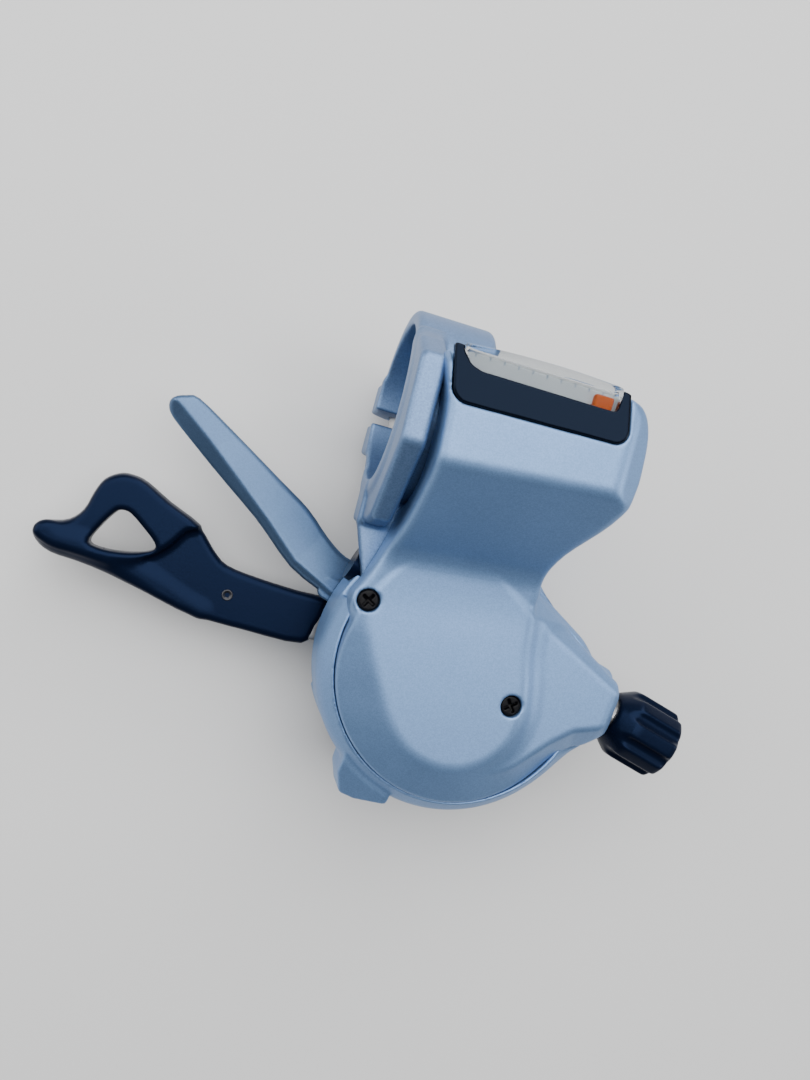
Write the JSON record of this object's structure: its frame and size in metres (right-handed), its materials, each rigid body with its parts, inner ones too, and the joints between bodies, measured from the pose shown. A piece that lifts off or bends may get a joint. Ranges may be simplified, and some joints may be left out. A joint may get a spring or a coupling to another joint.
{
  "type": "bicycle trigger shifter",
  "caption": "Left-hand flat-bar trigger shifter: bar clamp, silver pod with raised gear window, black push lever, slim release lever and cable adjuster.",
  "frame": {"origin": "centre of the handlebar clamp bore", "axes": "+X along the handlebar, inboard, towards the adjuster side; +Y from the pod towards the front of the clamp; +Z out of the display, parallel to the lever axis"},
  "size_m": [0.0998, 0.069, 0.043],
  "materials": {
    "cast_silver": "satin metallic paint over die-cast aluminium",
    "silver_paint": "satin metallic paint",
    "steel": "plain zinc-plated steel",
    "black_steel": "black oxide",
    "black_plastic": "satin moulded",
    "dark_plastic": "moulded",
    "pale_plastic": "moulded acetal",
    "spring_steel": "drawn wire",
    "silver_lever": "satin metallic paint",
    "gloss_black": "gloss",
    "clear_lens": "clear moulded",
    "scale_white": "printed plate",
    "orange": "orange pointer",
    "dark_metal": "black coated brass",
    "aluminium": "dark anodised"
  },
  "bodies": {
    "housing": {"clamp_bracket": "cast_silver", "clamp_bolt": "steel", "upper_cover": "silver_paint", "cover_screws": "black_steel", "lower_housing": "silver_paint", "base_plate": "steel", "frame_posts": "steel", "base_screws": "black_steel", "cable_plug": "black_plastic", "main_axle": "steel", "axle_nut": "steel", "axle_washer": "steel", "spacer_upper": "pale_plastic", "spacer_middle": "pale_plastic", "spacer_lower": "pale_plastic", "drum_spring": "spring_steel", "release_spring": "spring_steel", "main_spring": "spring_steel", "hold_pawl_pin": "steel", "hold_pawl_spring": "spring_steel", "window_mask": "gloss_black", "window_lens": "clear_lens", "indicator_scale": "scale_white", "indicator_base": "dark_plastic", "adjuster_insert": "dark_metal"},
    "drum": {"winding_drum": "dark_plastic", "ratchet_wheel": "steel"},
    "main_lever_unit": {"main_lever": "steel", "lever_pad": "black_plastic", "pad_rivet": "black_steel", "drive_pawl_pin": "steel", "drive_pawl_spring": "spring_steel"},
    "drive_pawl_unit": {"drive_pawl": "steel"},
    "release_unit": {"release_lever": "silver_lever"},
    "hold_pawl_unit": {"hold_pawl": "steel"},
    "needle": {"indicator_needle": "orange"},
    "barrel": {"adjuster_barrel": "aluminium"},
    "knob": {"adjuster_knob": "black_plastic"}
  },
  "joints": [
    {"name": "main_swing", "type": "hinge", "parent": "housing", "child": "main_lever_unit", "pos_m": [0.014, -0.034, 0], "axis": [0, 0, 1], "range_deg": [-40, 0], "stiffness_Nm_per_rad": 0.12, "springref_deg": 20.05},
    {"name": "drive_pawl_turn", "type": "hinge", "parent": "main_lever_unit", "child": "drive_pawl_unit", "pos_m": [0.02125, -0.04656, 0], "axis": [0, 0, 1], "range_deg": [-6, 0]},
    {"name": "release_swing", "type": "hinge", "parent": "housing", "child": "release_unit", "pos_m": [0.014, -0.034, 0], "axis": [0, 0, 1], "range_deg": [0, 15], "stiffness_Nm_per_rad": 0.1, "springref_deg": -20.05},
    {"name": "hold_pawl_turn", "type": "hinge", "parent": "housing", "child": "hold_pawl_unit", "pos_m": [0.02125, -0.02144, 0], "axis": [0, 0, 1], "range_deg": [0, 6]},
    {"name": "drum_turn", "type": "hinge", "parent": "housing", "child": "drum", "pos_m": [0.014, -0.034, 0], "axis": [0, 0, 1], "range_deg": [-40, 0]},
    {"name": "needle_slide", "type": "slide", "parent": "housing", "child": "needle", "axis": [1, 0, 0], "range_m": [-0.012, 0]},
    {"name": "knob_turn", "type": "hinge", "parent": "barrel", "child": "knob", "pos_m": [0.04429, -0.03701, -0.004], "axis": [0.9613, -0.2756, 0], "range_deg": [0, 720]},
    {"name": "barrel_slide", "type": "slide", "parent": "housing", "child": "barrel", "axis": [0.9613, -0.2756, 0], "range_m": [0, 0.0016]}
  ],
  "couplings": [
    {"joint": "drive_pawl_turn", "follows": "main_swing", "ratio": 0.15},
    {"joint": "hold_pawl_turn", "follows": "release_swing", "ratio": 0.4},
    {"joint": "needle_slide", "follows": "drum_turn", "m_per_rad": 0.017188},
    {"joint": "barrel_slide", "follows": "knob_turn", "m_per_rad": 0.0001273}
  ]
}
